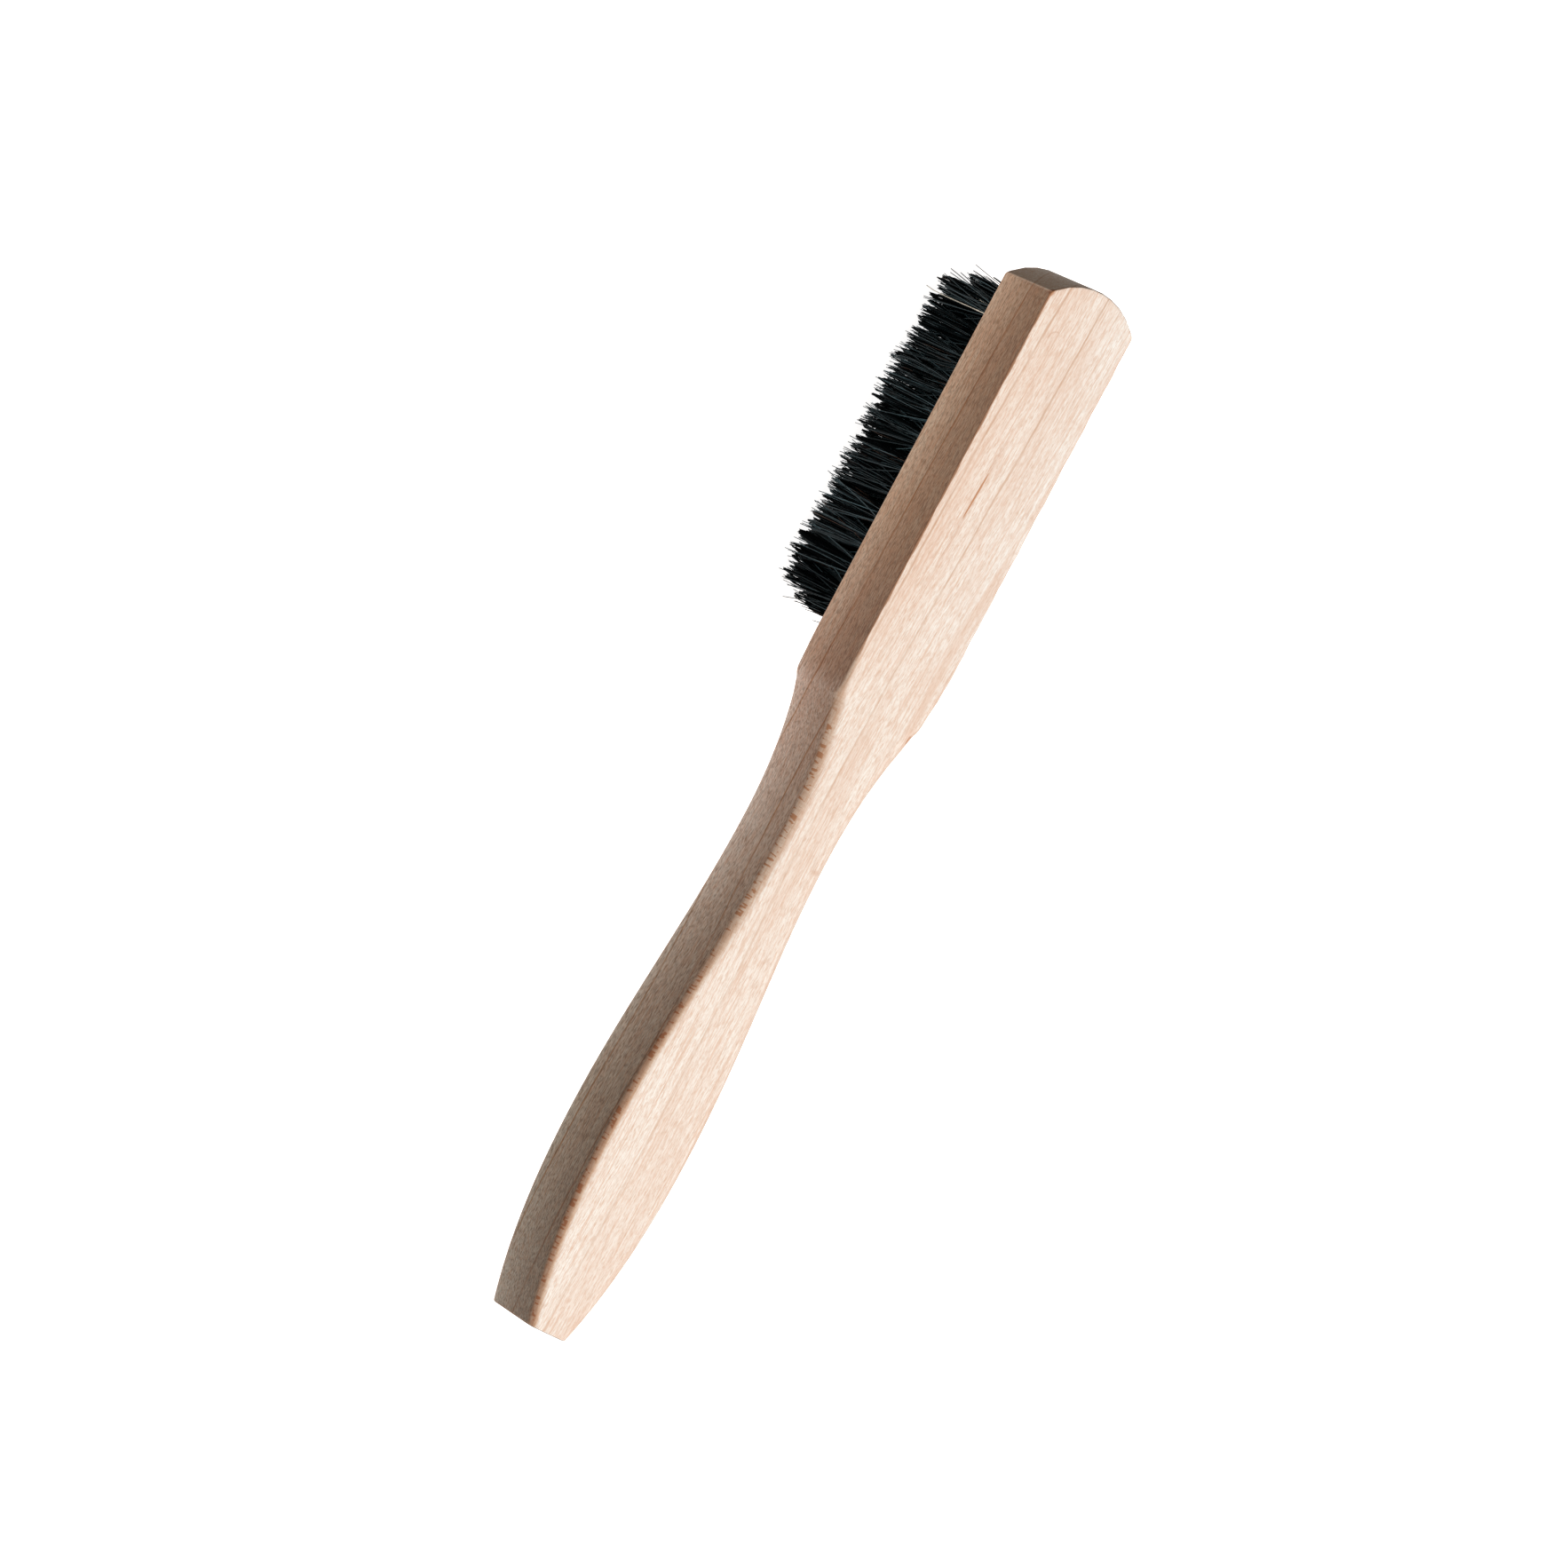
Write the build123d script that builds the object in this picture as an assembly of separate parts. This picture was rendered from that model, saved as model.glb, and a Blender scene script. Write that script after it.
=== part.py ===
from build123d import *
from math import hypot, radians, tan
import os

# Clothes brush: a one-piece wooden body, and tufts of bristle that are each folded over a wire anchor in a
# drilled hole. Millimetres. The brush stands on its bristle tips: X runs from the tip of the head to the tail
# of the handle, Y runs across, and Z is up. The origin is under the middle of the brush, at the bristle tips.

# ---- Driving sizes ----

# Wooden body, seen from above
head_length = 87.2          # from the rounded tip to the knee, where the neck starts
head_width = 21.0
tip_bulge = 4.5             # how far the rounded tip stands out past its two corners
neck_run = 28.1             # from the knee to the narrowest place
neck_width = 12.5
swell_run = 60.7            # from the narrowest place to the widest place of the handle
handle_width = 19.6
tail_run = 40.0             # from the widest place to the cut end
tail_width = 9.2
knee_angle = 19.0           # degrees by which the neck turns in at the knee
tail_angle = 17.3           # degrees by which the handle closes in at its cut end

# Wooden body, seen from the side
body_thickness = 16.3
handle_rounding = 2.5       # along the four long edges of the neck and handle
cutter_core = 0.6           # radius of the rounding cutter inside its profile
run_out_step = 0.3          # by which the run-out at the knee is smaller than the rounding
head_softening = 0.4        # worn edge of the head
tail_softening = 0.3        # worn edge of the cut end

# Bristle field
row_count = 4               # rows across the head
tuft_pitch = 5.35           # from tuft to tuft along a row
tip_inset = 9.4             # from the rounded tip to the first tufts of the inner rows
knee_inset = 13.0           # least distance from the last tufts to the knee
side_wall = 1.5             # wood between the outer holes and the side of the head

# Drilled holes, tufts and anchors
hole_diameter = 3.2
hole_depth = 9.0
root_clearance = 0.05       # all round, between a tuft and its hole
bristle_length = 22.5       # free length under the head
tuft_gap = 0.3              # between the tips of neighbouring tufts
fold_height = 1.2           # folded bristle between an anchor and the bottom of its hole
anchor_bite = 0.5           # depth of each anchor end in the wood
anchor_height = 1.8
anchor_thickness = 0.45

# ---- Sizes that follow ----

total_length = head_length + neck_run + swell_run + tail_run
x_tip = -total_length / 2
x_corner = x_tip + tip_bulge
x_knee = x_tip + head_length
x_neck = x_knee + neck_run
x_belly = x_neck + swell_run
x_tail = x_belly + tail_run

z_face = bristle_length                     # the drilled face of the head
z_back = z_face + body_thickness
z_hole_end = z_face + hole_depth
z_anchor_top = z_hole_end - fold_height
z_anchor_middle = z_anchor_top - anchor_height / 2

narrowest = min(neck_width, tail_width, body_thickness)
rounding = min(handle_rounding, 0.4 * narrowest)
run_out_radius = rounding - run_out_step
softening = min(head_softening, tip_bulge / 4)

outer_row_y = head_width / 2 - side_wall - hole_diameter / 2
row_spacing = 2 * outer_row_y / (row_count - 1)
nearest_tufts = min(tuft_pitch, row_spacing, hypot(tuft_pitch / 2, row_spacing))
tuft_root_diameter = hole_diameter - 2 * root_clearance
tuft_tip_diameter = nearest_tufts - tuft_gap
anchor_length = hole_diameter + 2 * anchor_bite


def flank(start, end, start_slope, end_slope):
    """One smooth stretch of the plan outline, with the given slope at each end."""
    third = (end[0] - start[0]) / 3
    leave = (start[0] + third, start[1] + third * start_slope)
    arrive = (end[0] - third, end[1] - third * end_slope)
    return Bezier(start, leave, arrive, end)


def head_block():
    """Head with straight sides and a rounded tip, its edges slightly worn."""
    side = head_width / 2
    outline = ThreePointArc((x_corner, -side), (x_tip, 0), (x_corner, side))
    outline += Polyline((x_corner, side), (x_knee, side), (x_knee, -side), (x_corner, -side))
    block = Pos(0, 0, z_face) * extrude(make_face(outline), amount=body_thickness)
    corners = block.edges().filter_by(Axis.Z).group_by(Axis.X)[0]
    block = fillet(corners, softening)
    flat_edges = block.edges().group_by(Axis.Z)[0] + block.edges().group_by(Axis.Z)[-1]
    worn_edges = [edge for edge in flat_edges if edge.center().X < x_knee - softening]
    return fillet(worn_edges, softening)


def handle_bar():
    """Neck and handle, rounded along its four long edges and cut square at the tail."""
    half_widths = [head_width / 2, neck_width / 2, handle_width / 2, tail_width / 2]
    stations = list(zip([x_knee, x_neck, x_belly, x_tail], half_widths))
    slopes = [-tan(radians(knee_angle)), 0, 0, -tan(radians(tail_angle))]
    outline = Line((x_knee, -half_widths[0]), (x_knee, half_widths[0]))
    outline += Line((x_tail, half_widths[3]), (x_tail, -half_widths[3]))
    for index in range(3):
        stretch = flank(stations[index], stations[index + 1], slopes[index], slopes[index + 1])
        outline += stretch
        outline += mirror(stretch, Plane.XZ)
    bar = Pos(0, 0, z_face) * extrude(make_face(outline), amount=body_thickness)
    flat_edges = bar.edges().group_by(Axis.Z)[0] + bar.edges().group_by(Axis.Z)[-1]
    long_edges = [edge for edge in flat_edges if x_knee + rounding < edge.center().X < x_tail - rounding]
    bar = fillet(long_edges, rounding)
    end_edges = bar.faces().sort_by(Axis.X)[-1].edges()
    return fillet(end_edges, tail_softening)


def cutter():
    """Space swept by the rounding cutter on its upright axis, with the top of its profile at the origin."""
    radius = run_out_radius
    reach = cutter_core + radius
    arc_middle = Vector(reach, -radius) + Vector(-radius, 0).rotate(Axis.Z, -45)
    profile = Polyline((cutter_core, -radius), (0, -radius), (0, radius), (reach, radius), (reach, 0))
    profile += ThreePointArc((reach, 0), arc_middle, (cutter_core, -radius))
    return revolve(Plane.XZ * make_face(profile), Axis.Z)


def run_outs():
    """Where the cutter was lifted off at the knee, at each of the four long edges."""
    upper = Pos(x_knee, head_width / 2 + cutter_core, z_back) * cutter()
    lower = mirror(upper, Plane.XY.offset((z_face + z_back) / 2))
    return [upper, lower, mirror(upper, Plane.XZ), mirror(lower, Plane.XZ)]


def cross_rows():
    """Places of the tufts, one list for each row across the head, from tip to knee."""
    field_length = head_length - tip_inset - knee_inset
    inner_count = int(field_length / tuft_pitch) + 1
    row_ys = [-outer_row_y + index * row_spacing for index in range(row_count)]
    rows = []
    for index in range(2 * inner_count - 1):
        x = x_tip + tip_inset + index * tuft_pitch / 2
        ys = row_ys[1:-1] if index % 2 == 0 else [row_ys[0], row_ys[-1]]
        rows.append([(x, y) for y in ys])
    return rows


def hole(x, y):
    """Space of one drilled hole."""
    return Pos(x, y, (z_face + z_hole_end) / 2) * Cylinder(hole_diameter / 2, hole_depth)


def anchor(x, y):
    """Flat wire driven across the fold of a tuft, with both ends in the wood."""
    return Pos(x, y, z_anchor_middle) * Box(anchor_thickness, anchor_length, anchor_height)


def tuft(x, y):
    """Bundle of bristles folded round its anchor, straight in the hole and spreading below it."""
    root = Pos(x, y, (z_face + z_hole_end) / 2) * Cylinder(tuft_root_diameter / 2, hole_depth)
    free = Cone(tuft_tip_diameter / 2, tuft_root_diameter / 2, bristle_length)
    return root + Pos(x, y, bristle_length / 2) * free - anchor(x, y)


def wooden_body(places):
    """The body in one piece, drilled and slit for its anchors."""
    body = head_block() - run_outs() + handle_bar()
    body -= [hole(x, y) for x, y in places]
    return body - [anchor(x, y) for x, y in places]


os.makedirs("parts", exist_ok=True)
rows = cross_rows()
places = [place for row in rows for place in row]
export_step(wooden_body(places), "parts/wooden_body.step")
for number, row in enumerate(rows, start=1):
    export_step(Compound([tuft(x, y) for x, y in row]), f"parts/tuft_row_{number:02d}.step")
    export_step(Compound([anchor(x, y) for x, y in row]), f"parts/anchor_row_{number:02d}.step")
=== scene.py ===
import math

import bmesh
import bpy
import numpy as np
from bpy.props import FloatProperty, FloatVectorProperty, IntProperty, PointerProperty
from mathutils import Matrix, Vector


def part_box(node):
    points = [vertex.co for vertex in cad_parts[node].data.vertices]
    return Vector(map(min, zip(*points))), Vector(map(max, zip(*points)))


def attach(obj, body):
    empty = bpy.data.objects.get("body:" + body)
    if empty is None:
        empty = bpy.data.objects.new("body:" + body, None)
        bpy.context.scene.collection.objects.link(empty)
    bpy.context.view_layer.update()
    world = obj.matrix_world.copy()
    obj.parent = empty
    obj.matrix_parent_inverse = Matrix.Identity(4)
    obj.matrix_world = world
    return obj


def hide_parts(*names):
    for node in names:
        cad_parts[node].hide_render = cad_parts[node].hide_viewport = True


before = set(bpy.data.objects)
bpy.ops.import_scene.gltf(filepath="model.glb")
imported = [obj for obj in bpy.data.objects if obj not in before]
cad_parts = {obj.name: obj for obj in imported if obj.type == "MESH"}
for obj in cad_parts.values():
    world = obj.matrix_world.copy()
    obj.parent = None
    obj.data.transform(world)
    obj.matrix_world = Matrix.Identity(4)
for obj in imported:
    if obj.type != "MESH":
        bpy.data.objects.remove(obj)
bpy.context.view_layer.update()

bl_info = {
    "name": "Clothes Brush",
    "version": (1, 0, 0),
    "blender": (4, 5, 0),
    "location": "3D View > Sidebar > Brush",
    "description": "Dresses the packed clothes brush: wooden body, bristle, anchors and stage",
    "category": "Object",
}

# The brush stands on its bristle tips. X runs from the tip of the head to the tail of the handle, Y runs
# across, Z is up. Blender's unit is the metre; the wood pattern is worked out in millimetres.

MM = 0.001
BODY_LOW, BODY_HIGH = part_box("wooden_body")
ROW_COUNT = sum(name.startswith("tuft_row_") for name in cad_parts)


# ---- Sizes and colours ----

class BrushBodySizes(bpy.types.PropertyGroup):
    """Outline of the wooden body and the finish of its edges"""

    head_length: FloatProperty(name="Head length", description="From the rounded tip to the knee",
                               default=0.0872, unit="LENGTH")
    head_width: FloatProperty(name="Head width", description="Across the head", default=0.021,
                              unit="LENGTH")
    tip_bulge: FloatProperty(name="Tip bulge",
                             description="How far the rounded tip stands out past its corners",
                             default=0.0045, unit="LENGTH")
    neck_run: FloatProperty(name="Neck run", description="From the knee to the narrowest place",
                            default=0.0281, unit="LENGTH")
    neck_width: FloatProperty(name="Neck width", description="Across the narrowest place", default=0.0125,
                              unit="LENGTH")
    swell_run: FloatProperty(name="Swell run",
                             description="From the narrowest to the widest place of the handle",
                             default=0.0607, unit="LENGTH")
    handle_width: FloatProperty(name="Handle width", description="Across the widest place of the handle",
                                default=0.0196, unit="LENGTH")
    tail_width: FloatProperty(name="Tail width", description="Across the cut end", default=0.0092,
                              unit="LENGTH")
    knee_angle: FloatProperty(name="Knee angle", description="By which the neck turns in at the knee",
                              default=math.radians(19), subtype="ANGLE")
    tail_angle: FloatProperty(name="Tail angle", description="By which the handle closes in at its cut end",
                              default=math.radians(17.3), subtype="ANGLE")
    knee_ease: FloatProperty(name="Knee ease", description="By which sanding narrows each side at the knee",
                             default=0.00025, unit="LENGTH")
    rounding: FloatProperty(name="Handle rounding",
                            description="Along the four long edges of neck and handle", default=0.0025,
                            unit="LENGTH")
    swell_rounding: FloatProperty(name="Swell rounding",
                                  description="Along the upper edges where the handle is wide",
                                  default=0.0020, unit="LENGTH")
    worn_edge: FloatProperty(name="Worn edge", description="Along the edges of the head", default=0.0004,
                             unit="LENGTH")
    tail_edge: FloatProperty(name="Tail edge", description="Around the cut end", default=0.0003,
                             unit="LENGTH")
    hole_diameter: FloatProperty(name="Hole diameter", description="Of each drilled hole", default=0.0032,
                                 unit="LENGTH")
    hole_depth: FloatProperty(name="Hole depth", description="Of each drilled hole", default=0.009,
                              unit="LENGTH")


class BrushWoodLook(bpy.types.PropertyGroup):
    """Colours and grain of the beech"""

    pale: FloatVectorProperty(name="Pale wood", description="Between the streaks", subtype="COLOR", size=3,
                              default=(0.884, 0.841, 0.772), min=0, max=1)
    tan: FloatVectorProperty(name="Tan wood", description="In the streaks", subtype="COLOR", size=3,
                             default=(0.735, 0.542, 0.427), min=0, max=1)
    line: FloatVectorProperty(name="Growth line", description="At the end of each year's growth",
                              subtype="COLOR", size=3, default=(0.52, 0.30, 0.175), min=0, max=1)
    fleck: FloatVectorProperty(name="Ray fleck", description="Where a ray of the wood comes to the surface",
                               subtype="COLOR", size=3, default=(0.49, 0.235, 0.12), min=0, max=1)
    ring_spacing: FloatProperty(name="Ring spacing", description="Between growth lines across the brush",
                                default=0.0098, unit="LENGTH")


class BrushBristleLook(bpy.types.PropertyGroup):
    """Bristles of each tuft"""

    per_tuft: IntProperty(name="Bristles", description="Folded bristles in each tuft", default=150, min=10,
                          max=200)
    root_thickness: FloatProperty(name="Root thickness", description="Of a bristle at the wood",
                                  default=0.00018, unit="LENGTH")
    tip_thickness: FloatProperty(name="Tip thickness", description="Of a bristle at its tip",
                                 default=0.00013, unit="LENGTH")
    fold_radius: FloatProperty(name="Fold radius", description="Of the innermost bristle over its anchor",
                               default=0.00034, unit="LENGTH")
    lobe_offset: FloatProperty(name="Lobe offset",
                               description="From the middle of a tuft to each half at its tips",
                               default=0.00134, unit="LENGTH")
    lobe_width: FloatProperty(name="Lobe width",
                              description="Of each half of a tuft at its tips, along the brush",
                              default=0.0032, unit="LENGTH")
    lobe_length: FloatProperty(name="Lobe length",
                               description="Of each half of a tuft at its tips, across the brush",
                               default=0.0057, unit="LENGTH")
    gather: FloatProperty(name="Gather",
                          description="Share by which the halves draw together at their tips", default=0.08,
                          min=0, max=1, subtype="FACTOR")
    black: FloatVectorProperty(name="Black", description="Of the darkest bristles", subtype="COLOR", size=3,
                               default=(0.0002, 0.0007, 0.0010), min=0, max=1)
    # Lighter colour of the bristles, partly their own and partly a painted sheen
    grey_and_sheen: FloatVectorProperty(name="Grey", description="Of the lightest bristles", subtype="COLOR", size=3,
                              default=(0.051, 0.105, 0.127), min=0, max=1)
    brown: FloatVectorProperty(name="Brown", description="Of the few brown bristles", subtype="COLOR",
                               size=3, default=(0.055, 0.026, 0.015), min=0, max=1)
    cream: FloatVectorProperty(name="Cream", description="Of the one cream bristle", subtype="COLOR",
                               size=3, default=(0.95, 0.92, 0.80), min=0, max=1)
    seed: IntProperty(name="Seed", description="Of the scatter", default=7, min=0)


class BrushStageLook(bpy.types.PropertyGroup):
    """Floor, light and camera"""

    floor_colour: FloatVectorProperty(name="Floor",
                                      description="Colour that the floor sends back to the brush",
                                      subtype="COLOR", size=3, default=(0.70, 0.64, 0.60), min=0, max=1)
    key_direction: FloatVectorProperty(name="Key direction", description="From the brush to the main light",
                                       subtype="DIRECTION", size=3, default=(0.16, 0.5, 0.84))
    light_distance: FloatProperty(name="Light distance", description="From the brush to each light",
                                  default=2.4, unit="LENGTH")
    key_size: FloatProperty(name="Key size", description="Side of the square main light", default=0.4,
                            unit="LENGTH")
    key_power: FloatProperty(name="Key power", description="Of the main light", default=49.0, unit="POWER")
    fill_direction: FloatVectorProperty(name="Fill direction",
                                        description="From the brush to the soft second light",
                                        subtype="DIRECTION", size=3, default=(0.93, -0.3, 0.22))
    fill_size: FloatProperty(name="Fill size", description="Side of the square second light", default=1.2,
                             unit="LENGTH")
    fill_power: FloatProperty(name="Fill power", description="Of the second light", default=13.0,
                              unit="POWER")
    ambient: FloatVectorProperty(name="Ambient", description="Light from all round", subtype="COLOR",
                                 size=3, default=(0.37, 0.345, 0.325), min=0, max=1)
    camera_place: FloatVectorProperty(name="Camera place", description="Where the camera stands",
                                      subtype="TRANSLATION", size=3, default=(-0.0163, -0.9111, 1.3613))
    camera_azimuth: FloatProperty(name="Camera azimuth", description="Turn about the vertical",
                                  subtype="ANGLE", default=math.radians(-0.949))
    camera_elevation: FloatProperty(name="Camera elevation", description="Angle above the floor",
                                    subtype="ANGLE", default=math.radians(55.771))
    camera_roll: FloatProperty(name="Camera roll", description="Turn about the line of sight",
                               subtype="ANGLE", default=math.radians(118.82))
    lens: FloatProperty(name="Lens", description="Focal length in millimetres on a 36 mm sensor",
                        default=201.4, unit="CAMERA")


# ---- Shader building ----

def new_tree(name):
    """A material with an empty node tree."""
    material = bpy.data.materials.new(name)
    material.use_nodes = True
    material.node_tree.nodes.clear()
    return material, material.node_tree


def node(tree, kind, inputs=None, **settings):
    """Adds a node. inputs maps sockets, by name or number, to values or to other nodes' outputs."""
    made = tree.nodes.new(kind)
    for name, value in settings.items():
        setattr(made, name, value)
    for socket, value in (inputs or {}).items():
        if isinstance(value, bpy.types.NodeSocket):
            tree.links.new(value, made.inputs[socket])
        else:
            made.inputs[socket].default_value = value
    return made


def maths(tree, operation, *values):
    """Result of a Math node."""
    return node(tree, "ShaderNodeMath", dict(enumerate(values)), operation=operation).outputs[0]


def step(tree, value, start, end, low=0.0, high=1.0):
    """Smooth change from low to high while value goes from start to end."""
    made = node(tree, "ShaderNodeMapRange", {0: value, 1: start, 2: end, 3: low, 4: high},
                interpolation_type="SMOOTHSTEP")
    return made.outputs[0]


def noise(tree, place, scale, detail=2.0, roughness=0.5):
    """Noise about 0.5, with its own scale on each axis of place."""
    stretched = node(tree, "ShaderNodeVectorMath", {0: place, 1: scale}, operation="MULTIPLY").outputs[0]
    return node(tree, "ShaderNodeTexNoise", {"Vector": stretched, "Scale": 1.0, "Detail": detail,
                                             "Roughness": roughness}).outputs[0]


def blend(tree, amount, first, second, kind="MIX"):
    """Colour between first and second."""
    made = node(tree, "ShaderNodeMix", {0: amount, 6: first, 7: second}, data_type="RGBA", blend_type=kind)
    return made.outputs[2]


def product(tree, *values):
    """All the values multiplied."""
    result = values[0]
    for value in values[1:]:
        result = maths(tree, "MULTIPLY", result, value)
    return result


def plus(tree, first, second):
    return maths(tree, "ADD", first, second)


def minus(tree, first, second):
    return maths(tree, "SUBTRACT", first, second)


def magnitude(tree, value):
    return maths(tree, "ABSOLUTE", value)


def distance(tree, along, aside):
    """Length of the way that goes along and aside."""
    return maths(tree, "SQRT", plus(tree, product(tree, along, along), product(tree, aside, aside)))


def toned(tree, colour, tone):
    """Colour multiplied by tone."""
    return blend(tree, 1.0, colour, tone, "MULTIPLY")


def in_millimetres(tree, texture):
    """Place in the piece's own coordinates, in millimetres."""
    return node(tree, "ShaderNodeVectorMath", {0: texture.outputs["Object"], "Scale": 1 / MM},
                operation="SCALE").outputs[0]


def rgba(colour):
    return (*colour, 1.0)


# ---- Wooden body ----

FINE_RING, COARSE_RING = 0.25 * MM, 0.8 * MM     # from ring to ring of the mesh, near the knee and elsewhere
END_STEPS = 5                                    # rings round the worn edge at each end, less one
FLAT_STEPS = [0.0, 0.02, 0.14, 0.26, 0.38, 0.5, 0.62, 0.74, 0.86, 0.98, 1.0]
WALL_STEPS = [0.0, 0.02, 0.5, 0.98, 1.0]
ARC_STEPS = 6
HOLE_SIDES = 28
WELD = 1e-6                                      # vertices nearer than this are merged
SHARP_ANGLE = math.radians(32)                   # faces that meet at more than this have a sharp edge


def flank(x, start, end, start_slope, end_slope):
    """Height at x of one smooth stretch of the plan outline, with the given slope at each end."""
    t = (x - start[0]) / (end[0] - start[0])
    third = (end[0] - start[0]) / 3
    heights = (start[1], start[1] + third * start_slope, end[1] - third * end_slope, end[1])
    weights = ((1 - t) ** 3, 3 * t * (1 - t) ** 2, 3 * t * t * (1 - t), t ** 3)
    return sum(weight * height for weight, height in zip(weights, heights))


def smooth(value, start, end):
    """0 before start, 1 after end, and smooth between them."""
    t = min(max((value - start) / (end - start), 0.0), 1.0)
    return t * t * (3 - 2 * t)


class BodyShape:
    """The plan and the section of the wooden body, worked out from its sizes."""

    def __init__(self, sizes):
        self.sizes = sizes
        self.tip = BODY_LOW.x
        self.corner = self.tip + sizes.tip_bulge
        self.knee = self.tip + sizes.head_length
        self.neck = self.knee + sizes.neck_run
        self.belly = self.neck + sizes.swell_run
        self.tail = BODY_HIGH.x
        self.bottom, self.top = BODY_LOW.z, BODY_HIGH.z

    def half_width(self, x):
        """Half the width at x, sanded a little narrower on both sides of the knee."""
        sizes = self.sizes
        head = sizes.head_width / 2
        near_knee = smooth(x, self.knee - 9 * MM, self.knee) * (1 - smooth(x, self.knee, self.knee + 5 * MM))
        ease = sizes.knee_ease * near_knee
        if x <= self.knee:
            return head - ease
        places = [(self.knee, head), (self.neck, sizes.neck_width / 2), (self.belly, sizes.handle_width / 2),
                  (self.tail, sizes.tail_width / 2)]
        slopes = [-math.tan(sizes.knee_angle), 0, 0, -math.tan(sizes.tail_angle)]
        index = 0 if x < self.neck else 1 if x < self.belly else 2
        return flank(x, places[index], places[index + 1], slopes[index], slopes[index + 1]) - ease

    def wear(self, x):
        """By how much the worn upper edges of the head are more or less rounded at x."""
        along = (x - self.corner) / MM
        wave = 0.12 * MM * (math.sin(along / 1.9) + 0.8 * math.sin(along / 0.83 + 1.0))
        after_tip = smooth(x, self.corner + 1 * MM, self.corner + 3 * MM)
        return wave * after_tip * (1 - smooth(x, self.knee - 9 * MM, self.knee))

    def rounding(self, x):
        """Radii of the lower and of the upper long edges at x: worn on the head, full past the knee.

        The upper rounding grows before the knee, mostly in the last few millimetres, and is a little smaller
        where the handle is wide. The lower one starts at the knee, where the cutter was let in.
        """
        sizes, knee = self.sizes, self.knee
        growth = sizes.rounding - sizes.worn_edge
        lower = 0.55 * smooth(x, knee - 1.4 * MM, knee + 1.2 * MM) + 0.45 * smooth(x, knee, knee + 5 * MM)
        upper = 0.55 * smooth(x, knee - 11 * MM, knee - 0.5 * MM)
        upper += 0.45 * smooth(x, knee - 1.8 * MM, knee + 1 * MM)
        eased = (sizes.rounding - sizes.swell_rounding) * smooth(x, self.neck + 8 * MM, self.belly - 20 * MM)
        return sizes.worn_edge + growth * lower, sizes.worn_edge + self.wear(x) + growth * upper - eased

    def bulge(self, x, y):
        """How far a point of the head moves towards the tip, to give it its rounded end."""
        half = self.sizes.head_width / 2
        radius = (half ** 2 + self.sizes.tip_bulge ** 2) / (2 * self.sizes.tip_bulge)
        rise = math.sqrt(radius ** 2 - min(abs(y), half) ** 2) - (radius - self.sizes.tip_bulge)
        return rise * (1 - smooth(x, self.corner + 1 * MM, self.corner + 9 * MM))

    def stations(self):
        """(place along the body, inset of the section) for every ring, from the tip to the tail."""
        worn, cut = self.sizes.worn_edge, self.sizes.tail_edge
        quarter = [math.radians(90 * index / END_STEPS) for index in range(END_STEPS + 1)]
        rings = [(self.corner + worn * (1 - math.cos(turn)), worn * (1 - math.sin(turn))) for turn in quarter]
        x = rings[-1][0] + FINE_RING
        while x < self.tail - cut - COARSE_RING / 2:
            rings.append((x, 0.0))
            x += FINE_RING if abs(x - self.knee) < 4 * MM else COARSE_RING
        rings.append((self.tail - cut - COARSE_RING / 4, 0.0))
        rings += [(self.tail - cut * (1 - math.sin(turn)), cut * (1 - math.cos(turn))) for turn in quarter]
        return rings


def section(half_width, bottom, top, low_radius, high_radius):
    """Points (y, z) once round a rounded rectangle, counter-clockwise from the lower left."""
    low, high = max(low_radius, 0.0), max(high_radius, 0.0)
    points = []

    def run(start, end, steps):
        points.extend((start[0] + (end[0] - start[0]) * t, start[1] + (end[1] - start[1]) * t) for t in steps)

    def arc(centre, radius, first):
        for index in range(1, ARC_STEPS):
            angle = math.radians(first + 90 * index / ARC_STEPS)
            points.append((centre[0] + radius * math.cos(angle), centre[1] + radius * math.sin(angle)))

    run((low - half_width, bottom), (half_width - low, bottom), FLAT_STEPS)
    arc((half_width - low, bottom + low), low, -90)
    run((half_width, bottom + low), (half_width, top - high), WALL_STEPS)
    arc((half_width - high, top - high), high, 0)
    run((half_width - high, top), (high - half_width, top), FLAT_STEPS)
    arc((high - half_width, top - high), high, 90)
    run((-half_width, top - high), (-half_width, bottom + low), WALL_STEPS)
    arc((low - half_width, bottom + low), low, 180)
    points.append(points[0])
    return points


def body_mesh(shape):
    """The wooden body without its holes: a grid rolled round the sections and closed at both ends."""
    rings = shape.stations()
    girth = len(section(1, 0, 1, 0.1, 0.1))
    bm = bmesh.new()
    bmesh.ops.create_grid(bm, x_segments=len(rings) - 1, y_segments=girth - 1, size=0.5)
    places = []
    for x, inset in rings:
        low, high = shape.rounding(x)
        outline = section(shape.half_width(x) - inset, shape.bottom + inset, shape.top - inset,
                          low - inset, high - inset)
        places.append([(x, y, z) for y, z in outline])
    for vert in bm.verts:
        ring = round((vert.co.x + 0.5) * (len(rings) - 1))
        turn = round((vert.co.y + 0.5) * (girth - 1))
        x, y, z = places[ring][turn]
        vert.co = (x - shape.bulge(x, y), y, z)
    bmesh.ops.remove_doubles(bm, verts=bm.verts, dist=WELD)
    ends = [edge for edge in bm.edges if edge.is_boundary]
    tip = [edge for edge in ends if edge.verts[0].co.x < 0]
    rails = [edge for edge in tip if any(all(abs(vert.co.z - level) < 1.5 * MM for vert in edge.verts)
                                         for level in (shape.bottom, shape.top))]
    bmesh.ops.grid_fill(bm, edges=rails)
    bmesh.ops.contextual_create(bm, geom=[edge for edge in ends if edge.is_valid and edge.is_boundary])
    bmesh.ops.recalc_face_normals(bm, faces=bm.faces)
    return bm


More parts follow.
